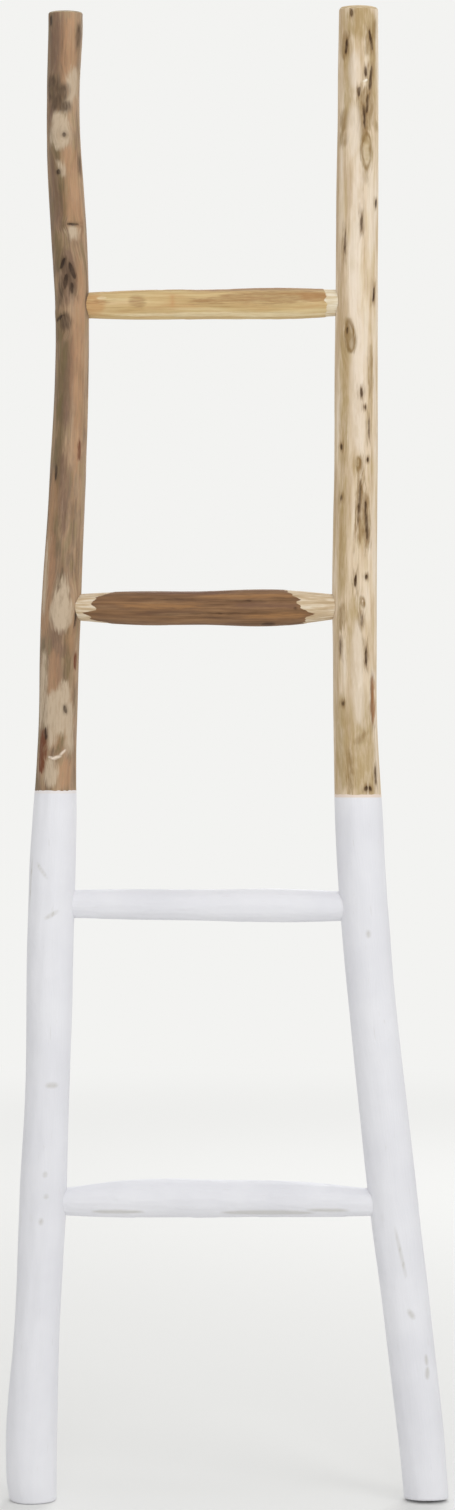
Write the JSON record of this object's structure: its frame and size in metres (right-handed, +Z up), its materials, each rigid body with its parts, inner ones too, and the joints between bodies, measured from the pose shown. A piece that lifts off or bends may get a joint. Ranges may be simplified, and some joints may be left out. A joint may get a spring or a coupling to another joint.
{
  "type": "blanket ladder",
  "caption": "Leaning blanket ladder with peeled branch poles and whittled round rungs, bare wood above and white painted below.",
  "frame": {"origin": "on the floor, at the bottom centre of the ladder's bounding box, midway between the outer sides of the two poles", "axes": "+Z up along the poles, +X to the viewer's right, -Y towards the viewer; the wall side and the screw heads face +Y"},
  "size_m": [0.4436, 0.0504, 1.5],
  "materials": {
    "greyed_teak": "peeled branch, weathered greyish tan, bare; matt white paint on its lower half",
    "pale_teak": "peeled branch, pale sapwood with dark flecks, bare; matt white paint on its lower half",
    "yellow_teak": "whittled, bare, yellowish tan",
    "brown_teak": "peeled branch, bare, brown, with pale whittled ends",
    "white_painted_teak": "matt white paint over whittled wood",
    "zinc_plated_steel": "zinc plated"
  },
  "bodies": {
    "root": {"left_pole": "greyed_teak", "right_pole": "pale_teak", "top_rung": "yellow_teak", "second_rung": "brown_teak", "third_rung": "white_painted_teak", "bottom_rung": "white_painted_teak", "top_rung_screw_left": "zinc_plated_steel", "top_rung_screw_right": "zinc_plated_steel", "second_rung_screw_left": "zinc_plated_steel", "second_rung_screw_right": "zinc_plated_steel", "third_rung_screw_left": "zinc_plated_steel", "third_rung_screw_right": "zinc_plated_steel", "bottom_rung_screw_left": "zinc_plated_steel", "bottom_rung_screw_right": "zinc_plated_steel"}
  },
  "joints": []
}
